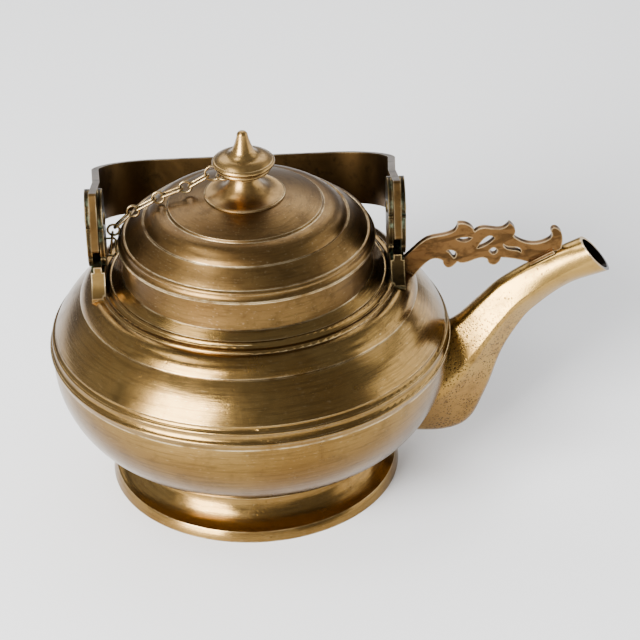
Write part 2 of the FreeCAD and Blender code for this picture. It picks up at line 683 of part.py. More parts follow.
strap_outline = strap_half + mirrored(strap_half) + mirrored(hollow_half) + hollow_half
strap = slab("bail_strap", "XZ_Plane", strap_outline, "bail_end_width")
ROUND_SAG = f"{BEND_SAG} * bail_end_round"
taper = slab("bail_taper", "YZ_Plane", [
    ("-(bail_end_width / 2 - bail_end_round)", "-bail_tail", "0"),
    ("bail_end_width / 2 - bail_end_round", "-bail_tail", ROUND_SAG),
    ("bail_end_width / 2", "-(bail_tail - bail_end_round)", "0"),
    ("bail_end_width / 2", "bail_straight", "0"),
    ("bail_grip_width / 2", f"{TOP_S} + bail_thick", "0"),
    ("-bail_grip_width / 2", f"{TOP_S} + bail_thick", "0"),
    ("-bail_end_width / 2", "bail_straight", "0"),
    ("-bail_end_width / 2", "-(bail_tail - bail_end_round)", ROUND_SAG),
], f"4 * {ARM_X}")
strap_cut = joined("Part::Common", "bail_narrowed", strap, taper)
pin_hole = rod_along_x("bail_pin_hole", "pin_radius + pin_clear", f"4 * {ARM_X}", "0", "0 * pin_radius")
bail = keep(joined("Part::Cut", "bail_handle", strap_cut, pin_hole), "bail_handle")


# Search for the folded angle, in degrees from upright
LEAN_START = 90.0
LEAN_LIMIT = 150.0
LEAN_STEP = 0.1


def rest_lean():
    """How far the bail folds back from upright, in degrees, until its grip is just above the shoulder."""
    high = Vector(measure(RING_R), measure(RING_Z), 0)
    low = Vector(measure(CORD_R), measure(CORD_Z), 0)
    slope = (low - high).normalize()
    outward = Vector(-slope.y, slope.x, 0)
    reach, half = measure(UNDER_S), measure("bail_grip_width / 2")
    lean = LEAN_START
    while lean < LEAN_LIMIT:
        turn = math.radians(lean)
        edge = Vector(
            reach * math.sin(turn) + half * math.cos(turn),
            measure(PIN_Z) + reach * math.cos(turn) - half * math.sin(turn), 0)
        if (edge - high).dot(outward) < measure("bail_rest_gap + shoulder_bulge"):
            break
        lean += LEAN_STEP
    return lean


bail.Placement = Placement(Vector(0, 0, 0), Rotation(Vector(1, 0, 0), -rest_lean()))
bail.setExpression("Placement.Base.z", bound(PIN_Z))

# Lid: stepped dome, bezel, finial and washer
CROWN_CHORD = f"({CROWN_R} ^ 2 + lid_crown_rise ^ 2)"
CROWN_SAG = f"({CROWN_SPHERE} - sqrt({CROWN_SPHERE} ^ 2 - {CROWN_CHORD} / 4))"
lid_outside = [
    (LID_R, RIM_Z, "0"),
    (LID_R, f"{RIM_Z} + lid_edge_height", "-lid_cove_depth"),
    (COVE_R, COVE_Z, "lid_bead_bulge"),
    (TIER_R, TIER_Z, "lid_tier_bulge"),
    (RIDGE_R, RIDGE_Z, "0"),
    (ROLL_R, ROLL_Z, "lid_roll_bulge"),
    (STAGE_R, STAGE_Z, "0"),
    (CROWN_R, CROWN_Z, CROWN_SAG),
    ("0", TOP_Z, "0"),
]
BEZEL_R = "(neck_bore_radius - bezel_gap)"
lid_inside = inset(lid_outside[3:], "lid_wall")
lid_blank = turned("lid_blank", lid_outside + lid_inside + [
    (BEZEL_R, f"{COVE_Z} - 0.4 * lid_cove_rise", "0"),
    (BEZEL_R, RIM_Z, "0"),
])
tenon_drill = doc.addObject("Part::Cylinder", "tenon_drill")
tenon_drill.setExpression("Radius", bound("tenon_radius + solder_gap"))
tenon_drill.setExpression("Height", bound(TOP_Z))
tenon_drill.setExpression("Placement.Base.z", bound(f"{TOP_Z} / 2"))
keep(joined("Part::Cut", "lid_dome", lid_blank, tenon_drill), "lid_dome")

BEZEL_TOP = f"({COVE_Z} - 0.5 * lid_cove_rise)"
keep(turned("lid_bezel", [
    (BEZEL_R, f"{RIM_Z} - bezel_depth", "0"),
    (BEZEL_R, BEZEL_TOP, "0"),
    (f"{BEZEL_R} - bezel_wall", BEZEL_TOP, "0"),
    (f"{BEZEL_R} - bezel_wall", f"{RIM_Z} - bezel_depth", "0"),
]), "lid_bezel")

INNER_SPHERE = f"({CROWN_SPHERE} - lid_wall)"
WASHER_Z = crown_height("washer_radius", INNER_SPHERE, f"({TOP_Z} - lid_wall)")
FLANGE_Z = f"({crown_height('finial_flange_radius')} + solder_gap)"
SEAT_Z = f"({crown_height('tenon_radius')} + solder_gap)"
SEAT_CHORD = f"((finial_flange_radius - tenon_radius) ^ 2 + ({SEAT_Z} - {FLANGE_Z}) ^ 2)"
SEAT_SAG = f"({CROWN_SPHERE} - sqrt({CROWN_SPHERE} ^ 2 - {SEAT_CHORD} / 4))"
finial_side = [
    (f"{across} * finial_rim_radius", f"{TOP_Z} + {up} * finial_height", f"{bulge} * finial_rim_radius")
    for across, up, bulge in FINIAL_SHARES]
TENON_Z = f"({WASHER_Z} - washer_thick)"
finial_down = [("0", f"{TOP_Z} + finial_height", "0")] + finial_side + [
    ("finial_flange_radius - finial_flange_thick", f"{FLANGE_Z} + 1.4 * finial_flange_thick", "0"),
    ("finial_flange_radius", f"{FLANGE_Z} + finial_flange_thick", "0"),
    ("finial_flange_radius", FLANGE_Z, f"-{SEAT_SAG}"),
    ("tenon_radius", SEAT_Z, "0"),
    ("tenon_radius", TENON_Z, "0"),
    ("1.3 * tenon_radius", TENON_Z, "0"),
    ("1.1 * tenon_radius", f"{TENON_Z} - tenon_head_height", "0"),
    ("0", f"{TENON_Z} - tenon_head_height", "0"),
]


def walked_back(outline):
    """The same outline walked the other way."""
    bulges = [corner[2] for corner in outline[:-1]]
    return [(across, up, bulge) for (across, up, old), bulge in zip(outline[::-1], bulges[::-1] + ["0"])]


finial = keep(turned("finial", walked_back(finial_down)), "finial")
keep(turned("finial_washer", [
    ("washer_radius", TENON_Z, "0"),
    ("washer_radius", WASHER_Z, "0"),
    ("tenon_radius + solder_gap", WASHER_Z, "0"),
    ("tenon_radius + solder_gap", TENON_Z, "0"),
]), "finial_washer")

# Chain: an eye on the finial, rings on edge and flat links in turn, a staple on the left inner ear
edgewise = Rotation(Vector(1, 0, 0), 90)
offset = measure("chain_offset")
eye_height = measure(f"{TOP_Z} + eye_rise")
eye_ring = doc.addObject("Part::Torus", "eye_ring")
eye_ring.setExpression("Radius1", bound("eye_radius"))
eye_ring.setExpression("Radius2", bound("chain_wire_radius"))
eye_ring.Placement = Placement(Vector(-measure("eye_offset"), offset, eye_height), Rotation())
keep(joined("Part::Cut", "finial_chain_eye", eye_ring, finial), "finial_chain_eye")


def heading(angle, length):
    """A step in the chain's plane."""
    turn = math.radians(angle)
    return Vector(length * math.cos(turn), 0, length * math.sin(turn))


def chain_ring(number, middle, radius):
    """One ring standing in the chain's plane."""
    ring = doc.addObject("Part::Torus", f"chain_ring_{number}")
    ring.setExpression("Radius1", bound(radius))
    ring.setExpression("Radius2", bound("chain_wire_radius"))
    ring.Placement = Placement(middle, edgewise)
    keep(ring, f"chain_ring_{number}")


def chain_link(number, start, angle):
    """One flat link lying across the chain's plane."""
    loop = [
        ("chain_link_half", "-chain_link_half", "0"),
        ("chain_link_length - chain_link_half", "-chain_link_half", f"{BEND_SAG} * chain_link_half"),
        ("chain_link_length", "0", f"{BEND_SAG} * chain_link_half"),
        ("chain_link_length - chain_link_half", "chain_link_half", "0"),
        ("chain_link_half", "chain_link_half", f"{BEND_SAG} * chain_link_half"),
        ("0", "0", f"{BEND_SAG} * chain_link_half"),
    ]
    link = swept_wire(f"chain_link_{number}", loop, range(len(loop)), "chain_wire_radius",
                      start, Rotation(Vector(0, -1, 0), angle))
    keep(link, f"chain_link_{number}")


pivot_reach = measure("chain_ring_radius - 2 * chain_wire_radius - chain_play")
first_reach = measure("first_ring_radius - 2 * chain_wire_radius - chain_play")
pivot = Vector(-measure("eye_offset + eye_radius"), offset, eye_height)
ring_middle = pivot + heading(FIRST_RING_ANGLES[0], first_reach)
chain_ring(1, ring_middle, "first_ring_radius")
pivot = ring_middle + heading(FIRST_RING_ANGLES[1], first_reach)
for number, angle in enumerate(LINK_ANGLES, 1):
    chain_link(number, pivot, angle)
    pivot = pivot + heading(angle, measure("chain_link_length"))
    if number <= len(RING_ANGLES):
        ring_middle = pivot + heading(RING_ANGLES[number - 1], pivot_reach)
        chain_ring(number + 1, ring_middle, "chain_ring_radius")
        pivot = ring_middle + heading(RING_ANGLES[number - 1], pivot_reach)

ear_face = -measure(f"{ARM_X} - {POST_HALF}")
bar_reach = pivot.x + measure("staple_bar_gap") - ear_face
STAPLE_HALF = "((staple_drop + staple_rise) / 2)"
NOOK_SAG = f"{BEND_SAG} * staple_corner"
staple_path = [
    ("0", f"-{STAPLE_HALF}", "0"),
    (f"{bar_reach} - staple_corner", f"-{STAPLE_HALF}", NOOK_SAG),
    (f"{bar_reach}", f"-({STAPLE_HALF} - staple_corner)", "0"),
    (f"{bar_reach}", f"{STAPLE_HALF} - staple_corner", NOOK_SAG),
    (f"{bar_reach} - staple_corner", STAPLE_HALF, "0"),
    ("0", STAPLE_HALF, "0"),
]
staple_middle = Vector(ear_face, offset, pivot.z + measure("(staple_rise - staple_drop) / 2"))
keep(swept_wire("lug_chain_staple", staple_path, range(len(staple_path) - 1), "staple_wire_radius",
                staple_middle, edgewise), "lug_chain_staple")

# Check every object, then write one file for each piece
doc.recompute()
for item in doc.Objects:
    faults = [word for word in item.State if word in ("Invalid", "Error")]
    if faults:
        raise RuntimeError(f"{item.Name} did not build: {faults}")
for item in pieces:
    if item.Shape.isNull() or not item.Shape.isValid() or not item.Shape.Solids:
        raise RuntimeError(f"{item.Label} has no sound solid")
os.makedirs("parts", exist_ok=True)
for item in pieces:
    item.Shape.exportStep(f"parts/{item.Label}.step")
    print(item.Label, len(item.Shape.Solids), round(item.Shape.Volume, 1))
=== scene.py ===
import json
import math
import bmesh
import bpy
from mathutils import Matrix, Vector


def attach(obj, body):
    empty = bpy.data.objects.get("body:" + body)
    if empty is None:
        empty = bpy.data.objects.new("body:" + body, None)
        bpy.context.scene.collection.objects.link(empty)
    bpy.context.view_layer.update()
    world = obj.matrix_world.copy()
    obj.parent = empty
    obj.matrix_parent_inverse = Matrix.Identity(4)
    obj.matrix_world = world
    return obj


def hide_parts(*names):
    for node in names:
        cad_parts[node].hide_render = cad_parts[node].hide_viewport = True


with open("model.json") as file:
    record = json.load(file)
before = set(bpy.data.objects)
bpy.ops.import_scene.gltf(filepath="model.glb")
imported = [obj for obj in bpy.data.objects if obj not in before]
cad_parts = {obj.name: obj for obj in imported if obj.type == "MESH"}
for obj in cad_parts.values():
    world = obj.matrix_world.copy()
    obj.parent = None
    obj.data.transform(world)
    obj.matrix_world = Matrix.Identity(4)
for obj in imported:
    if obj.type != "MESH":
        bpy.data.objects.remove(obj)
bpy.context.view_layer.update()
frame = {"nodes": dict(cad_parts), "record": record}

nodes = frame["nodes"]

# Spout, in metres: start, reach and rise of its middle line, half its section, and its wall
SPOUT_ROOT = Vector((0.0514, 0.0, 0.0415))
SPOUT_REACH = 0.1028
SPOUT_RISE = 0.0602
SPOUT_HALF_HEIGHT = 0.0247
SPOUT_HALF_WIDTH = 0.0168
SPOUT_WALL = 0.0015
SPOUT_RINGS_PER_SPAN = 9
# Section of the spout: half the flat top, two places along the flank down to the ridge, and cut corners
TOP_SHARE = 0.28
FLANK_SHARES = (0.30, 0.76)
CORNER_CUT_SHARES = (0.25, 0.75)
CORNER_CUT_PASSES = 3
# Shares of reach, rise, half height and half width, the lean in degrees, and the ridge (0 is a plain oval)
SPOUT_STATION_SHARES = [
    (0.000, -0.005, 0.845, 0.88, 0.0, 0.3),
    (0.157, -0.044, 1.075, 0.97, 14.0, 0.8),
    (0.294, -0.014, 1.165, 1.00, 30.0, 1.0),
    (0.392, 0.120, 0.864, 0.91, 42.0, 1.0),
    (0.490, 0.331, 0.559, 0.77, 52.0, 1.0),
    (0.576, 0.526, 0.457, 0.65, 52.0, 1.0),
    (0.662, 0.689, 0.413, 0.58, 45.0, 0.9),
    (0.849, 0.900, 0.352, 0.50, 28.0, 0.5),
    (0.998, 1.001, 0.402, 0.54, 42.0, 0.1),
]
# Edges that turn by more than this stay sharp
SHARP_ANGLE = math.radians(42)


def add_object(name, data):
    """A new object of the scene."""
    thing = bpy.data.objects.new(name, data)
    bpy.context.scene.collection.objects.link(thing)
    return thing


def spout_middle(along_share, rise_share):
    """A point on the spout's middle line."""
    return SPOUT_ROOT + Vector((along_share * SPOUT_REACH, 0.0, rise_share * SPOUT_RISE))


# Shader nodes
class Tree:
    """The shader nodes of one material, with short ways to add and link them."""

    def __init__(self, name):
        self.material = bpy.data.materials.new(name)
        self.material.use_nodes = True
        self.graph = self.material.node_tree
        self.shader = next(node for node in self.graph.nodes if node.type == "BSDF_PRINCIPLED")
        self.place = self.add("ShaderNodeTexCoord").outputs["Object"]
        self.across, self.deep, self.high = self.add("ShaderNodeSeparateXYZ", Vector=self.place).outputs

    def put(self, socket, value):
        if isinstance(value, bpy.types.NodeSocket):
            self.graph.links.new(value, socket)
        else:
            socket.default_value = value

    def surface(self, name, value):
        self.put(self.shader.inputs[name], value)

    def add(self, kind, **values):
        node = self.graph.nodes.new(kind)
        for name, value in values.items():
            self.put(node.inputs[name], value)
        return node

    def math(self, operation, first, second=0.0):
        node = self.graph.nodes.new("ShaderNodeMath")
        node.operation = operation
        self.put(node.inputs[0], first)
        self.put(node.inputs[1], second)
        return node.outputs[0]

    def plus(self, first, second):
        return self.math("ADD", first, second)

    def minus(self, first, second):
        return self.math("SUBTRACT", first, second)

    def times(self, first, second):
        return self.math("MULTIPLY", first, second)

    def vector(self, x, y, z):
        return self.add("ShaderNodeCombineXYZ", X=x, Y=y, Z=z).outputs[0]

    def noise(self, scale, detail, rough, place=None, swirl=0.0):
        node = self.add("ShaderNodeTexNoise", Vector=place or self.place, Scale=scale, Detail=detail,
                        Roughness=rough, Distortion=swirl)
        return node.outputs["Fac"]

    def cells(self, scale):
        """The distance from the nearest of many scattered points."""
        return self.add("ShaderNodeTexVoronoi", Vector=self.place, Scale=scale).outputs["Distance"]

    def step(self, value, span, falling=False):
        """A soft step from 0 to 1 over a span of the value, or from 1 to 0."""
        node = self.graph.nodes.new("ShaderNodeMapRange")
        node.interpolation_type = "SMOOTHSTEP"
        ends = (1.0, 0.0) if falling else (0.0, 1.0)
        names = ("Value", "From Min", "From Max", "To Min", "To Max")
        for name, number in zip(names, (value, *span, *ends)):
            self.put(node.inputs[name], number)
        return node.outputs["Result"]

    def mix(self, share, first, second, kind="MIX"):
        node = self.graph.nodes.new("ShaderNodeMix")
        node.data_type = "RGBA"
        node.blend_type = kind
        self.put(node.inputs["Factor"], share)
        for name, value in (("A", first), ("B", second)):
            colour = next(socket for socket in node.inputs if socket.name == name and socket.type == "RGBA")
            self.put(colour, value)
        return next(socket for socket in node.outputs if socket.type == "RGBA")


def rgb(red, green, blue):
    """A display colour of 0 to 255 as a linear shader colour."""
    def linear(value):
        share = value / 255
        return share / 12.92 if share <= 0.04045 else ((share + 0.055) / 1.055) ** 2.4
    return linear(red), linear(green), linear(blue), 1.0


# Layers of the brass. A noise is its scale per metre, detail and roughness, and a layer comes in over a span.
PATINA_NOISE = (16.0, 5.0, 0.6)
PATINA_SWIRL = 0.6
PATINA_SPAN = (0.42, 0.64)
FINE_NOISE = (120.0, 4.0, 0.65)
STAIN_SPAN = (0.50, 0.72)

# Turning lines and bright scuffs
LINE_NOISE = (900.0, 3.0, 0.6)
LINE_TURN_SHARE = 0.004
LINE_SPAN = (0.46, 0.66)
LINE_SHARE = 0.35
SCUFF_NOISE = (1500.0, 2.0, 0.5)
SCUFF_TURN_SHARE = 0.02
SCUFF_SPAN = (0.60, 0.78)
SCUFF_SHARE = 0.16


def around_axis(tree, turn_share):
    """Coordinates round the kettle's axis, in which noise is drawn out into rings."""
    squares = tree.plus(tree.times(tree.across, tree.across), tree.times(tree.deep, tree.deep))
    turn = tree.math("ARCTAN2", tree.deep, tree.across)
    return tree.vector(tree.math("SQRT", squares), tree.times(turn, turn_share), tree.high)


# Pits in patches, deeper and darker on a casting
PIT_SCALE = 420.0
PIT_SPAN = (0.10, 0.26)
PIT_PATCH_NOISE = (60.0, 3.0, 0.6)
PIT_PATCH_SPAN = (0.52, 0.66)
PIT_SHARE = 0.35
CAST_PIT_SHARE = 0.5


def pit_mask(tree):
    """Scattered pits, in patches."""
    patches = tree.step(tree.noise(*PIT_PATCH_NOISE), PIT_PATCH_SPAN)
    return tree.times(tree.step(tree.cells(PIT_SCALE), PIT_SPAN, falling=True), patches)


# Dark streaks, drawn out along X
STREAK_NOISE = (240.0, 3.0, 0.6)
STREAK_STRETCH_SHARE = 0.35
STREAK_SWIRL = 0.8
STREAK_SPAN = (0.47, 0.62)


def streak_mask(tree):
    """Streaks that run along the spout's bracket."""
    drawn_out = tree.vector(tree.times(tree.across, STREAK_STRETCH_SHARE), tree.deep, tree.high)
    return tree.step(tree.noise(*STREAK_NOISE, drawn_out, STREAK_SWIRL), STREAK_SPAN)


# Browner band round the bowl, with the heights in metres where it comes and goes
BAND_BELOW = (0.020, 0.026)
BAND_ABOVE = (0.050, 0.066)
BAND_TINT = (0.72, 0.66, 0.50, 1.0)


def bowl_band(tree):
    """The side of the bowl, from above the foot to below the belt."""
    return tree.times(tree.step(tree.high, BAND_BELOW), tree.step(tree.high, BAND_ABOVE, falling=True))


# Dark specks, which thin out over these heights in metres
SPECK_SCALE = 850.0
SPECK_SPAN = (0.20, 0.46)
SPECK_HEIGHTS = (0.054, 0.098)
SPECK_LEAST_SHARE = 0.10
SPECK_PATCH_NOISE = (95.0, 3.0, 0.6)
SPECK_PATCH_SPAN = (0.32, 0.54)
SPECK_DEPTH_SHARE = 0.5


def speck_mask(tree):
    """Small specks, most of them low on the spout."""
    low_down = tree.plus(tree.step(tree.high, SPECK_HEIGHTS, falling=True), SPECK_LEAST_SHARE)
    spread = tree.times(tree.step(tree.noise(*SPECK_PATCH_NOISE), SPECK_PATCH_SPAN), low_down)
    return tree.times(tree.step(tree.cells(SPECK_SCALE), SPECK_SPAN, falling=True), spread)


# Worn edges: their rounding in metres, and how far the rounded normal agrees with the true one
EDGE_RADIUS = 0.0011
EDGE_SAMPLES = 6
EDGE_SPAN = (0.90, 0.995)
WEAR_NOISE = (90.0, 3.0, 0.6)
WEAR_SPAN = (0.30, 0.60)


def edge_mask(tree, normal):
    """The edges, where a rounded normal turns away from the true one."""
    bevel = tree.add("ShaderNodeBevel", Radius=EDGE_RADIUS)
    bevel.samples = EDGE_SAMPLES
    agreement = tree.graph.nodes.new("ShaderNodeVectorMath")
    agreement.operation = "DOT_PRODUCT"
    tree.put(agreement.inputs[0], bevel.outputs[0])
    tree.put(agreement.inputs[1], normal)
    return tree.step(agreement.outputs["Value"], EDGE_SPAN, falling=True)


# Grime with painted shade and green traces in the hollows, whose reach is in metres
HOLLOW_REACH = 0.006
HOLLOW_SAMPLES = 8
HOLLOW_SPAN = (0.35, 0.80)
GRIME_AND_SHADE_NOISE = (75.0, 4.0, 0.6)
GRIME_AND_SHADE_SPAN = (0.30, 0.62)
GRIME_AND_SHADE_TONE = (52, 40, 22)
GREEN_NOISE = (140.0, 4.0, 0.7)
GREEN_SPAN = (0.48, 0.62)
GREEN_TONE = (128, 148, 122)


def hollow_mask(tree):
    """The hollows and inner corners, where soiling gathers and shade is painted."""
    hollow = tree.add("ShaderNodeAmbientOcclusion", Distance=HOLLOW_REACH)
    hollow.samples = HOLLOW_SAMPLES
    return tree.step(hollow.outputs["AO"], HOLLOW_SPAN, falling=True)


# Painted shade inside the spout's mouth, in metres: how far before the spout's last stretch it begins,
# and a span of the distance from the axis, which counts as negative on a face that looks inwards
MOUTH_LEAD = 0.02
MOUTH_SPAN = (-0.002, 0.0)
MOUTH_SHADE_TONE = (16, 11, 6)


def mouth_shade_mask(tree, normal):
    """The faces near the spout's mouth that look towards its axis, where shade is painted."""
    start, end = (spout_middle(along, rise) for along, rise, *_ in SPOUT_STATION_SHARES[-2:])
    axis = (end - start).normalized()
    face_x, face_y, face_z = tree.add("ShaderNodeSeparateXYZ", Vector=normal).outputs
    height = tree.times(tree.minus(tree.high, start.z), axis.x)
    lift = tree.minus(height, tree.times(tree.minus(tree.across, start.x), axis.z))
    rise = tree.minus(tree.times(face_z, axis.x), tree.times(face_x, axis.z))
    outward = tree.plus(tree.times(face_y, tree.deep), tree.times(rise, lift))
    near = tree.step(tree.across, (start.x - MOUTH_LEAD, start.x - MOUTH_LEAD / 2))
    return tree.times(tree.step(outward, MOUTH_SPAN, falling=True), near)


# What the layers add to the roughness, and the relief of each layer as a share of the bump's depth in metres
NOISE_MIDDLE = 0.5
PATINA_ROUGHNESS = 0.25
FINE_ROUGHNESS = 0.22
GRIME_AND_SHADE_ROUGHNESS = 0.25
LEAST_ROUGHNESS = 0.12
FINE_RELIEF_SHARE = 0.25
CAST_FINE_RELIEF_SHARE = 0.9
LINE_RELIEF_SHARE = 0.55
PIT_RELIEF_SHARE = 0.5
CAST_PIT_RELIEF_SHARE = 0.8
DENT_NOISE = (30.0, 2.0, 0.5)
DENT_RELIEF_SHARE = 1.2
BUMP_STRENGTH = 0.28
BUMP_DEPTH = 0.00035

# Tone of worn edges on most pieces
RUBBED_TONE = (214, 192, 150)


def brass(name, main, warm, dark, rough, bright=RUBBED_TONE, spin=0.0, cast=0.0, stain=0.4, wear=0.8,
          grime_and_shade=0.8, green=0.0, mouth=False, pitted=0.0, streaks=0.0, bowl_patina=0.0):
    """Aged brass: patina, turning lines, pits, worn edges, soiling and painted shade in the corners, green
    traces, painted shade in the mouth.
    """
    tree = Tree(name)
    main, warm, dark, bright = (rgb(*tone) for tone in (main, warm, dark, bright))
    broad = tree.noise(*PATINA_NOISE, swirl=PATINA_SWIRL)
    fine = tree.noise(*FINE_NOISE)
    colour = tree.mix(tree.step(broad, PATINA_SPAN), main, warm)
    colour = tree.mix(tree.times(tree.step(fine, STAIN_SPAN), stain), colour, dark)
    relief = tree.times(fine, FINE_RELIEF_SHARE + CAST_FINE_RELIEF_SHARE * cast)
    if spin:
        lines = tree.noise(*LINE_NOISE, around_axis(tree, LINE_TURN_SHARE))
        scuffs = tree.noise(*SCUFF_NOISE, around_axis(tree, SCUFF_TURN_SHARE))
        colour = tree.mix(tree.times(tree.step(lines, LINE_SPAN), LINE_SHARE * spin), colour, dark)
        colour = tree.mix(tree.times(tree.step(scuffs, SCUFF_SPAN), SCUFF_SHARE * spin), colour, bright)
        relief = tree.plus(relief, tree.times(lines, LINE_RELIEF_SHARE * spin))
    pits = pit_mask(tree)
    colour = tree.mix(tree.times(pits, PIT_SHARE + CAST_PIT_SHARE * cast), colour, dark)
    if streaks:
        colour = tree.mix(tree.times(streak_mask(tree), streaks), colour, dark)
    if bowl_patina:
        colour = tree.mix(tree.times(bowl_band(tree), bowl_patina), colour, BAND_TINT, "MULTIPLY")
    if pitted:
        specks = speck_mask(tree)
        colour = tree.mix(tree.times(specks, pitted), colour, dark)
        pits = tree.math("MAXIMUM", pits, tree.times(specks, SPECK_DEPTH_SHARE))

    geometry = tree.add("ShaderNodeNewGeometry").outputs
    hollows = hollow_mask(tree)
    open_edges = tree.times(edge_mask(tree, geometry["Normal"]), tree.minus(1.0, hollows))
    worn = tree.times(open_edges, tree.step(tree.noise(*WEAR_NOISE), WEAR_SPAN))
    colour = tree.mix(tree.times(worn, wear), colour, bright)
    # Painted shade and grime: the hollows found by occlusion darken in patches
    grime_and_shade_mask = tree.times(tree.times(hollows, tree.step(tree.noise(*GRIME_AND_SHADE_NOISE), GRIME_AND_SHADE_SPAN)), grime_and_shade)
    colour = tree.mix(grime_and_shade_mask, colour, rgb(*GRIME_AND_SHADE_TONE))
    if green:
        bloom = tree.times(hollows, tree.step(tree.noise(*GREEN_NOISE), GREEN_SPAN))
        colour = tree.mix(tree.times(bloom, green), colour, rgb(*GREEN_TONE))
    # Painted shade: the inside of the spout's mouth turns near black
    if mouth:
        colour = tree.mix(mouth_shade_mask(tree, geometry["True Normal"]), colour, rgb(*MOUTH_SHADE_TONE))
    tree.surface("Base Color", colour)
    tree.surface("Metallic", 1.0)

    roughness = tree.plus(rough, tree.times(tree.minus(broad, NOISE_MIDDLE), PATINA_ROUGHNESS))
    roughness = tree.plus(roughness, tree.times(tree.minus(fine, NOISE_MIDDLE), FINE_ROUGHNESS))
    roughness = tree.plus(roughness, tree.times(grime_and_shade_mask, GRIME_AND_SHADE_ROUGHNESS))
    tree.surface("Roughness", tree.math("MAXIMUM", roughness, LEAST_ROUGHNESS))

    relief = tree.minus(relief, tree.times(pits, PIT_RELIEF_SHARE + CAST_PIT_RELIEF_SHARE * cast))
    relief = tree.plus(relief, tree.times(tree.noise(*DENT_NOISE), DENT_RELIEF_SHARE))
    bump = tree.add("ShaderNodeBump", Height=relief, Strength=BUMP_STRENGTH, Distance=BUMP_DEPTH)
    tree.surface("Normal", bump.outputs[0])
    return tree.material


# Finishes: display colours, the mean roughness, and the strength of each layer that isn't the usual one
FINISHES = {
    "spun_brass": {
        "main": (129, 102, 57), "warm": (115, 87, 45), "dark": (71, 52, 26), "rough": 0.22,
        "spin": 1.0, "stain": 0.30, "bowl_patina": 0.8},
    "lid_brass": {
        "main": (110, 85, 48), "warm": (92, 68, 37), "dark": (51, 37, 19), "rough": 0.33,
        "spin": 0.9, "wear": 1.0},
    "cast_spout_brass": {
        "main": (158, 126, 68), "warm": (140, 106, 54), "dark": (64, 45, 22), "rough": 0.26,
        "cast": 0.5, "mouth": True, "pitted": 0.9},
    "cast_bracket_bronze": {
        "main": (99, 71, 40), "warm": (78, 53, 28), "dark": (34, 24, 12), "rough": 0.34,
        "bright": (196, 168, 124), "cast": 0.8, "stain": 0.6, "streaks": 0.55},
    "lug_brass": {
        "main": (48, 37, 20), "warm": (33, 25, 13), "dark": (11, 8, 4), "rough": 0.36,
        "bright": (198, 172, 122), "cast": 0.6, "stain": 0.7, "wear": 0.6, "grime_and_shade": 1.0, "green": 0.8},
    "bail_strap_brass": {
        "main": (88, 66, 36), "warm": (60, 43, 21), "dark": (16, 11, 6), "rough": 0.38,
        "bright": (186, 166, 128), "cast": 0.3, "stain": 0.7, "wear": 0.35},
    "chain_wire_brass": {
        "main": (138, 112, 70), "warm": (102, 80, 46), "dark": (44, 33, 17), "rough": 0.32,
        "bright": (212, 190, 146), "stain": 0.5, "green": 0.4},
    "rubbed_post_brass": {
        "main": (124, 100, 58), "warm": (102, 80, 44), "dark": (50, 38, 20), "rough": 0.34,
        "cast": 0.6, "stain": 0.5, "green": 0.8},
    "finial_brass": {
        "main": (148, 118, 70), "warm": (126, 97, 55), "dark": (64, 46, 24), "rough": 0.30,
        "spin": 0.6, "stain": 0.45, "wear": 1.0},
}
# Nodes whose finish differs from the rest of their slot
NODE_FINISHES = {"neck_collar": "lid_brass", "left_lug_post": "rubbed_post_brass", "finial": "finial_brass"}


def dress_nodes(materials):
    """Give every CAD node the finish of its slot, or its own."""
    for part in frame["record"]["subparts"]:
        mesh = nodes[part["node"]].data
        mesh.materials.clear()
        mesh.materials.append(materials[NODE_FINISHES.get(part["node"], part["material_slot"])])


# Spout with the ridge along each side, seated on the bowl in place of its plainer CAD form
def ridged_section():
    """A rounded six-sided outline of unit size, as (across, up) points."""
    top, side = Vector((TOP_SHARE, 1.0)), Vector((1.0, 0.0))
    upper = [top] + [top.lerp(side, share) for share in FLANK_SHARES]
    right = upper + [side] + [Vector((spot.x, -spot.y)) for spot in reversed(upper)]
    outline = right + [Vector((-spot.x, spot.y)) for spot in reversed(right)]
    for _ in range(CORNER_CUT_PASSES):
        pairs = list(zip(outline, outline[1:] + outline[:1]))
        outline = [first.lerp(second, share) for first, second in pairs for share in CORNER_CUT_SHARES]
    widest, highest = max(spot.x for spot in outline), max(spot.y for spot in outline)
    return [Vector((spot.x / widest, spot.y / highest)) for spot in outline]


def curve_through(knots, values, at):
    """A smooth curve through the values at the knots, read at one place."""
    last = len(knots) - 1

    def slope(index):
        low, high = max(index - 1, 0), min(index + 1, last)
        return (values[high] - values[low]) / (knots[high] - knots[low])

    span = max(index for index in range(last) if knots[index] <= at or index == 0)
    width = knots[span + 1] - knots[span]
    share = (at - knots[span]) / width
    ease = 3 * share ** 2 - 2 * share ** 3
    leaving = share ** 3 - 2 * share ** 2 + share
    arriving = share ** 3 - share ** 2
    return ((1 - ease) * values[span] + leaving * width * slope(span)
            + ease * values[span + 1] + arriving * width * slope(span + 1))


def spout_ring(at, knots, section, wall):
    """One ring of the spout, set in from the outside by the wall."""
    along, rise, tall, wide, lean, ridge = (
        curve_through(knots, column, at) for column in zip(*SPOUT_STATION_SHARES))
    middle = spout_middle(along, rise)
    upward = Vector((-math.sin(math.radians(lean)), 0.0, math.cos(math.radians(lean))))
    high = tall * SPOUT_HALF_HEIGHT - wall
    half = wide * SPOUT_HALF_WIDTH - wall
    ring = []
    for corner in section:
        spot = corner.normalized().lerp(corner, ridge)
        ring.append(middle + upward * high * spot.y + Vector((0.0, half * spot.x, 0.0)))
    return ring


def tube_mesh(name, rings):
    """A closed mesh through rings that run out along the outside and back along the bore."""
    count = len(rings[0])
    faces = []
    for index in range(len(rings)):
        here, there = index * count, (index + 1) % len(rings) * count
        for corner in range(count):
            after = (corner + 1) % count
            faces.append((here + corner, here + after, there + after, there + corner))
    mesh = bpy.data.meshes.new(name)
    mesh.from_pydata([spot for ring in rings for spot in ring], [], faces)
    return mesh


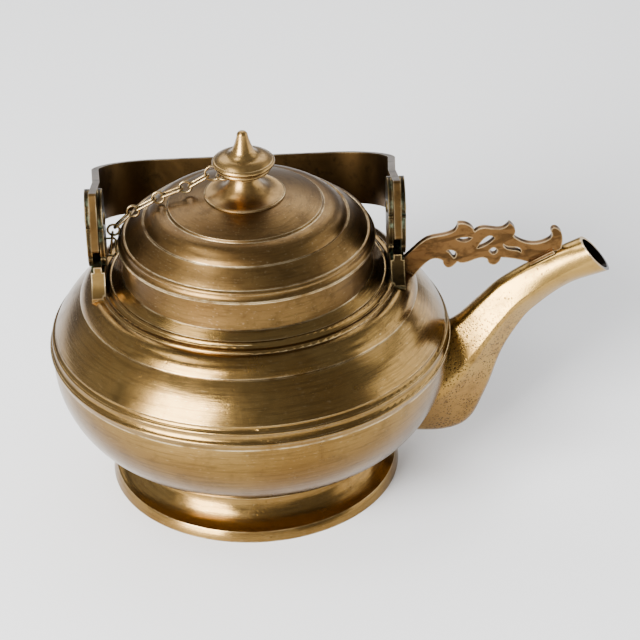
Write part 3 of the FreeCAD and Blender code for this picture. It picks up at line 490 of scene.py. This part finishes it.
def hull_of(name, node_names):
    """A closed convex cutter round some CAD nodes."""
    solid = bmesh.new()
    for node_name in node_names:
        for vertex in nodes[node_name].data.vertices:
            solid.verts.new(vertex.co)
    bmesh.ops.convex_hull(solid, input=solid.verts)
    inner = [vertex for vertex in solid.verts if not vertex.link_faces]
    bmesh.ops.delete(solid, geom=inner, context="VERTS")
    mesh = bpy.data.meshes.new(name)
    solid.to_mesh(mesh)
    solid.free()
    return add_object(name, mesh)


def tidy_normals(mesh):
    """Turn all faces outwards, shade them smooth and keep the real corners sharp."""
    solid = bmesh.new()
    solid.from_mesh(mesh)
    bmesh.ops.recalc_face_normals(solid, faces=solid.faces)
    for face in solid.faces:
        face.smooth = True
    for edge in solid.edges:
        edge.smooth = edge.calc_face_angle(math.pi) < SHARP_ANGLE
    solid.to_mesh(mesh)
    solid.free()


def spout_blank():
    """The whole spout as a tube, from inside the bowl to the mouth."""
    spots = [spout_middle(along, rise) for along, rise, *_ in SPOUT_STATION_SHARES]
    knots = [0.0]
    for before, after in zip(spots, spots[1:]):
        knots.append(knots[-1] + (after - before).length)
    places = [low + (high - low) * step / SPOUT_RINGS_PER_SPAN
              for low, high in zip(knots, knots[1:]) for step in range(SPOUT_RINGS_PER_SPAN)] + [knots[-1]]
    section = ridged_section()
    outside = [spout_ring(at, knots, section, 0.0) for at in places]
    bore = [spout_ring(at, knots, section, SPOUT_WALL) for at in reversed(places)]
    blank = tube_mesh("spout_blank", outside + bore)
    tidy_normals(blank)
    return blank


def make_spout(material):
    """Cut the spout off at the bowl and let it stand for the CAD node."""
    blank = spout_blank()
    spout = add_object("spout_ridged", blank)
    cutter = hull_of("bowl_cutter", ["lower_bowl", "upper_shoulder"])
    cut = spout.modifiers.new("seat", "BOOLEAN")
    cut.operation = "DIFFERENCE"
    cut.solver = "EXACT"
    cut.object = cutter
    depsgraph = bpy.context.evaluated_depsgraph_get()
    mesh = bpy.data.meshes.new_from_object(spout.evaluated_get(depsgraph))
    spout.modifiers.clear()
    spout.data = mesh
    mesh.name = "spout_ridged"
    bpy.data.objects.remove(cutter)
    bpy.data.meshes.remove(blank)
    tidy_normals(mesh)
    mesh.materials.append(material)
    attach(spout, "kettle")
    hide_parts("spout")


# Floor, with half its side in metres
FLOOR_HALF = 3.0
FLOOR_CORNER_SIGNS = ((-1, -1), (1, -1), (1, 1), (-1, 1))
FLOOR_NOISE = (3.0, 3.0, 0.5)
FLOOR_TONES = ((0.88, 0.88, 0.88, 1.0), (0.91, 0.91, 0.905, 1.0))
FLOOR_ROUGHNESS = 0.6


def make_floor():
    """A plain pale floor."""
    mesh = bpy.data.meshes.new("floor")
    corners = [(x * FLOOR_HALF, y * FLOOR_HALF, 0.0) for x, y in FLOOR_CORNER_SIGNS]
    mesh.from_pydata(corners, [], [(0, 1, 2, 3)])
    floor = add_object("floor", mesh)
    pale = Tree("pale_floor")
    pale.surface("Base Color", pale.mix(pale.noise(*FLOOR_NOISE), *FLOOR_TONES))
    pale.surface("Roughness", FLOOR_ROUGHNESS)
    mesh.materials.append(pale.material)


# Camera at the photo's angle
CAMERA_PLACE = Vector((0.0, -0.9126, 0.6455))
PAN, PITCH, ROLL = math.radians(1.96), math.radians(32.08), math.radians(-1.50)
LENS_MM = 135.0
SENSOR_MM = 36.0


def make_camera():
    """A camera in front of the kettle that looks down on it."""
    right = Vector((math.cos(PAN), -math.sin(PAN), 0.0))
    forward = Vector((math.sin(PAN) * math.cos(PITCH), math.cos(PAN) * math.cos(PITCH), -math.sin(PITCH)))
    upward = right.cross(forward)
    side = right * math.cos(ROLL) + upward * math.sin(ROLL)
    top = upward * math.cos(ROLL) - right * math.sin(ROLL)
    lens = bpy.data.cameras.new("camera")
    lens.lens = LENS_MM
    lens.sensor_width = SENSOR_MM
    lens.sensor_fit = "HORIZONTAL"
    camera = add_object("camera", lens)
    turned = Matrix((side, top, -forward)).transposed()
    camera.matrix_world = Matrix.Translation(CAMERA_PLACE) @ turned.to_4x4()
    bpy.context.scene.camera = camera


# Soft studio light: each lamp's place, width and height in metres, and its power in watts
LIGHT_AIM = Vector((0.02, 0.0, 0.08))
SOFTBOXES = [
    ("key_softbox", (-1.10, -1.20, 0.68), 0.95, 1.35, 160.0),
    ("top_softbox", (-0.65, -0.06, 1.46), 0.60, 0.35, 7.0),
    ("left_fill", (-1.60, 0.50, 0.90), 1.60, 1.60, 3.0),
    ("right_softbox", (1.57, 0.41, 0.40), 2.20, 0.90, 17.0),
    ("right_high_softbox", (1.26, 0.40, 1.16), 1.10, 0.50, 3.0),
    ("front_fill", (0.15, -1.95, 0.34), 1.60, 0.45, 2.6),
    ("back_softbox", (0.0, 1.50, 1.35), 2.0, 0.9, 20.0),
]
SURROUND_TONE = (0.9, 0.93, 1.0, 1.0)
SURROUND_STRENGTH = 0.42


def softbox(name, place, width, height, power):
    """A rectangular area lamp turned to the kettle."""
    lamp = bpy.data.lights.new(name, "AREA")
    lamp.shape = "RECTANGLE"
    lamp.size = width
    lamp.size_y = height
    lamp.energy = power
    holder = add_object(name, lamp)
    holder.location = place
    holder.rotation_euler = (LIGHT_AIM - Vector(place)).to_track_quat("-Z", "Y").to_euler()


def make_surround():
    """An even, slightly cool light from all round."""
    world = bpy.data.worlds.new("studio")
    world.use_nodes = True
    background = next(node for node in world.node_tree.nodes if node.type == "BACKGROUND")
    background.inputs["Color"].default_value = SURROUND_TONE
    background.inputs["Strength"].default_value = SURROUND_STRENGTH
    bpy.context.scene.world = world


brasses = {name: brass(name, **finish) for name, finish in FINISHES.items()}
dress_nodes(brasses)
make_spout(brasses["cast_spout_brass"])
make_floor()
make_camera()
for row in SOFTBOXES:
    softbox(*row)
make_surround()
